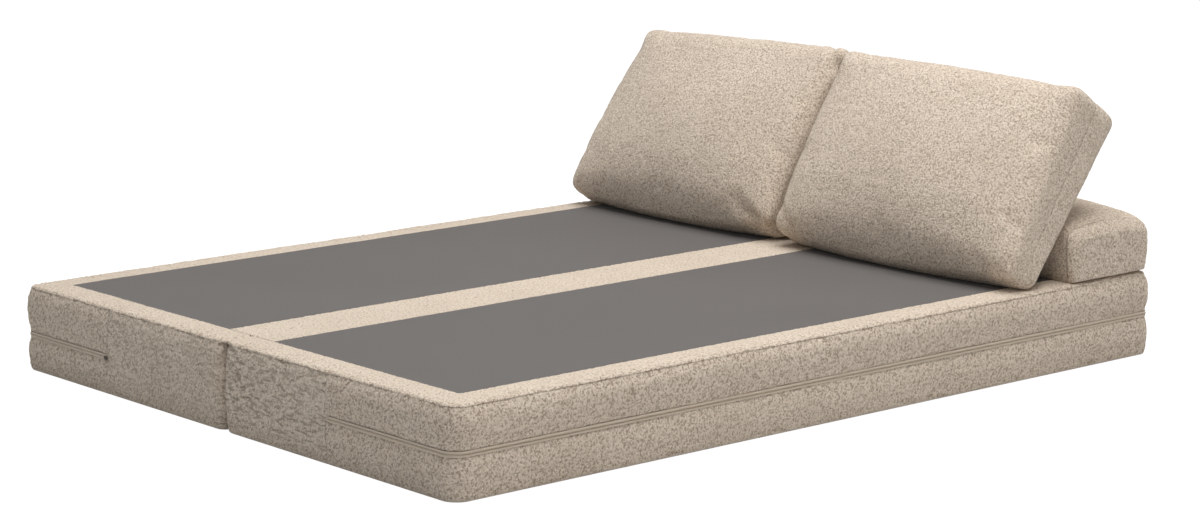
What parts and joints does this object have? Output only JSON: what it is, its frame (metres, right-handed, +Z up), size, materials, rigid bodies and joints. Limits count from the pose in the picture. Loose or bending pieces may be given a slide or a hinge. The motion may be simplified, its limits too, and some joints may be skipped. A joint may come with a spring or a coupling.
{
  "type": "sofa bed",
  "caption": "Flip-open foam sofa bed opened flat: two upholstered foam blocks joined by a fabric hinge, a bolster and leaning back cushions.",
  "frame": {"origin": "on the floor, under the middle of the fabric hinge between the two blocks", "axes": "+X across the bed towards the front block that flips over, +Y towards the head end with the bolster, +Z up"},
  "size_m": [1.5208, 2.0008, 0.6219],
  "materials": {
    "boucle": "matte",
    "sleeping_fabric": "matte",
    "underside": "matte",
    "base_foam": "matte",
    "comfort_foam": "matte",
    "fibre": "matte",
    "zip_tape": "matte",
    "zip_coil": "satin",
    "zip_slider": "satin"
  },
  "bodies": {
    "rear_block": {"rear_bottom_panel": "underside", "rear_base_foam": "base_foam", "rear_comfort_foam": "comfort_foam", "rear_lower_boxing": "boucle", "rear_upper_boxing": "boucle", "rear_plain_boxing": "boucle", "rear_top_border": "boucle", "rear_hinge_border": "boucle", "rear_sleeping_panel": "sleeping_fabric", "rear_zip_tape": "zip_tape", "rear_zip_coil": "zip_coil"},
    "rear_zip_slider": {"rear_zip_slider": "zip_slider"},
    "front_block": {"front_bottom_panel": "boucle", "front_base_foam": "base_foam", "front_comfort_foam": "comfort_foam", "front_lower_boxing": "boucle", "front_upper_boxing": "boucle", "front_plain_boxing": "boucle", "front_top_border": "boucle", "front_hinge_border": "boucle", "front_sleeping_panel": "sleeping_fabric", "front_zip_tape": "zip_tape", "front_zip_coil": "zip_coil"},
    "front_zip_slider": {"front_zip_slider": "zip_slider"},
    "bolster": {"bolster_core": "base_foam", "bolster_cover": "boucle", "bolster_end_panels": "boucle", "bolster_zip_tape": "zip_tape", "bolster_zip_coil": "zip_coil"},
    "bolster_zip_slider": {"bolster_zip_slider": "zip_slider"},
    "left_cushion": {"left_cushion_front_cover": "boucle", "left_cushion_back_cover": "boucle", "left_cushion_filling": "fibre", "left_cushion_zip_tape": "zip_tape", "left_cushion_zip_coil": "zip_coil"},
    "left_cushion_zip_slider": {"left_cushion_zip_slider": "zip_slider"},
    "right_cushion": {"right_cushion_front_cover": "boucle", "right_cushion_back_cover": "boucle", "right_cushion_filling": "fibre", "right_cushion_zip_tape": "zip_tape", "right_cushion_zip_coil": "zip_coil"},
    "right_cushion_zip_slider": {"right_cushion_zip_slider": "zip_slider"}
  },
  "joints": [
    {"name": "fold", "type": "hinge", "parent": "rear_block", "child": "front_block", "pos_m": [0, 0, 0.1925], "axis": [0, -1, 0], "range_deg": [0, 180]},
    {"name": "bolster_lift", "type": "slide", "parent": "rear_block", "child": "bolster", "axis": [0, 0, 1], "range_m": [0, 2.46]},
    {"name": "left_cushion_lift", "type": "slide", "parent": "bolster", "child": "left_cushion", "axis": [0, 0, 1], "range_m": [0, 0.3]},
    {"name": "right_cushion_lift", "type": "slide", "parent": "bolster", "child": "right_cushion", "axis": [0, 0, 1], "range_m": [0, 0.3]},
    {"name": "rear_zip", "type": "slide", "parent": "rear_block", "child": "rear_zip_slider", "axis": [-1, 0, 0], "range_m": [0, 0.262]},
    {"name": "front_zip", "type": "slide", "parent": "front_block", "child": "front_zip_slider", "axis": [1, 0, 0], "range_m": [0, 0.262]},
    {"name": "bolster_zip", "type": "slide", "parent": "bolster", "child": "bolster_zip_slider", "axis": [-1, 0, 0], "range_m": [0, 1.255]},
    {"name": "left_cushion_zip", "type": "slide", "parent": "left_cushion", "child": "left_cushion_zip_slider", "axis": [-1, 0, 0], "range_m": [0, 0.355]},
    {"name": "right_cushion_zip", "type": "slide", "parent": "right_cushion", "child": "right_cushion_zip_slider", "axis": [-1, 0, 0], "range_m": [0, 0.39]}
  ],
  "couplings": [
    {"joint": "bolster_lift", "follows": "fold", "m_per_rad": 0.78}
  ]
}
